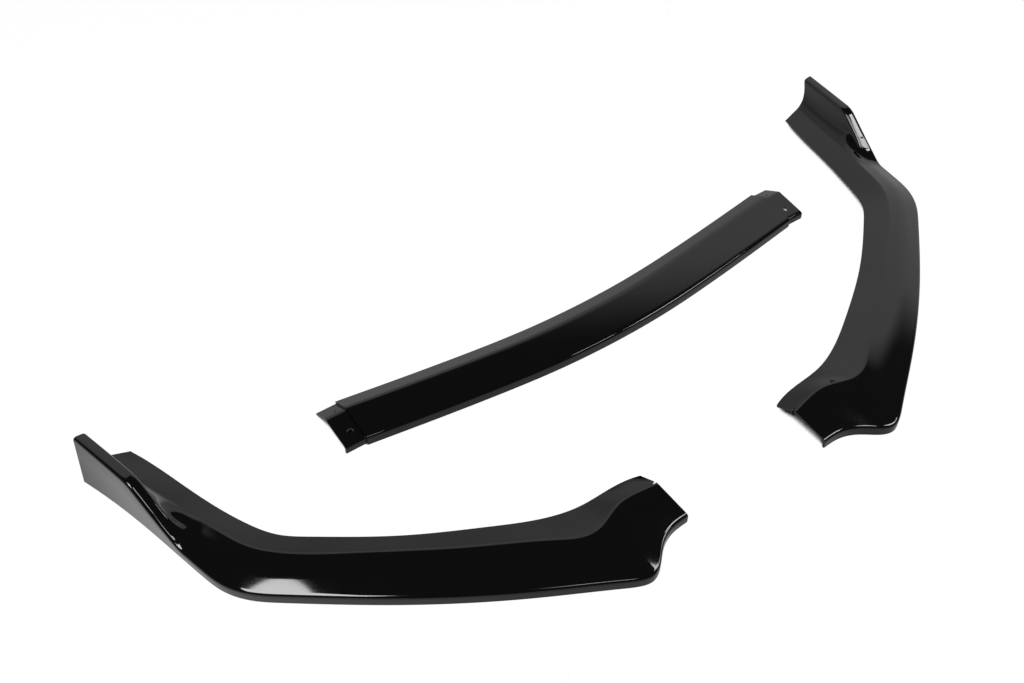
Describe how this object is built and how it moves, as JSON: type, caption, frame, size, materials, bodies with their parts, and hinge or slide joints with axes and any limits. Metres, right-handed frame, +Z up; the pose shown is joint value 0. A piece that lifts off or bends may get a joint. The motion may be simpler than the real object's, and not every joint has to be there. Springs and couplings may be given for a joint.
{
  "type": "front splitter lip",
  "caption": "Thin gloss black front splitter lip in a bowed centre section and handed corner sections with rising fins, laid out flat before fitting under a car bumper.",
  "frame": {"origin": "on the floor, in the middle of the layout's box", "axes": "+X towards the left side of the car, -Y towards its front, +Z up"},
  "size_m": [1.3274, 0.5872, 0.0709],
  "materials": {
    "centre_gloss": "gloss black",
    "corner_gloss": "gloss black"
  },
  "bodies": {
    "root": {"centre_section": "centre_gloss", "corner_left": "corner_gloss", "corner_right": "corner_gloss"}
  },
  "joints": []
}
